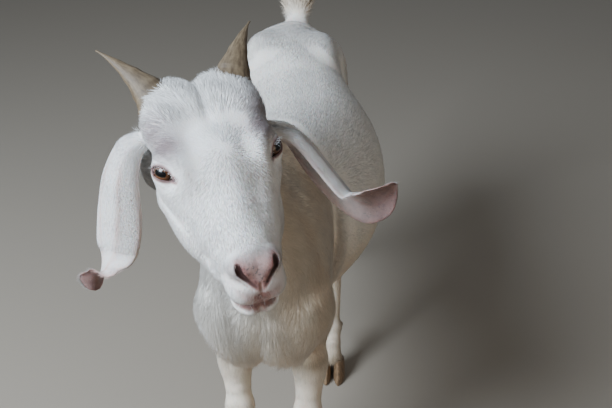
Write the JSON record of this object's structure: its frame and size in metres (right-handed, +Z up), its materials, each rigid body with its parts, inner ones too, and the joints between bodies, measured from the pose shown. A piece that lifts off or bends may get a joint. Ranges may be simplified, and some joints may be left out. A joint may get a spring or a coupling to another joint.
{
  "type": "goat",
  "caption": "Young lop-eared white goat with short horns, standing still with its head turned to its left.",
  "frame": {"origin": "on the floor, under the middle of the goat's box", "axes": "+Z up, the goat faces -Y, its left side is +X, +Y runs from its chest to its tail"},
  "size_m": [0.3428, 0.9036, 0.7824],
  "materials": {
    "coat": "short soft hair, matt",
    "head_coat": "very short fine hair, matt",
    "ear_skin": "bare skin under fine hair, satin",
    "horn": "horn with fine growth rings, satin",
    "eye": "wet, clear and glossy",
    "claw": "hoof horn, satin"
  },
  "bodies": {
    "root": {"head": "head_coat", "neck": "coat", "trunk": "coat", "tail": "coat", "foreleg_left_upper": "coat", "foreleg_left_lower": "coat", "foreleg_right_upper": "coat", "foreleg_right_lower": "coat", "hindleg_left_upper": "coat", "hindleg_left_lower": "coat", "hindleg_right_upper": "coat", "hindleg_right_lower": "coat", "ear_left": "ear_skin", "horn_left": "horn", "eye_left": "eye", "ear_right": "ear_skin", "horn_right": "horn", "eye_right": "eye", "claw_foreleg_left_outer": "claw", "dewclaw_foreleg_left_outer": "claw", "claw_foreleg_left_inner": "claw", "dewclaw_foreleg_left_inner": "claw", "claw_foreleg_right_outer": "claw", "dewclaw_foreleg_right_outer": "claw", "claw_foreleg_right_inner": "claw", "dewclaw_foreleg_right_inner": "claw", "claw_hindleg_left_outer": "claw", "dewclaw_hindleg_left_outer": "claw", "claw_hindleg_left_inner": "claw", "dewclaw_hindleg_left_inner": "claw", "claw_hindleg_right_outer": "claw", "dewclaw_hindleg_right_outer": "claw", "claw_hindleg_right_inner": "claw", "dewclaw_hindleg_right_inner": "claw"}
  },
  "joints": []
}
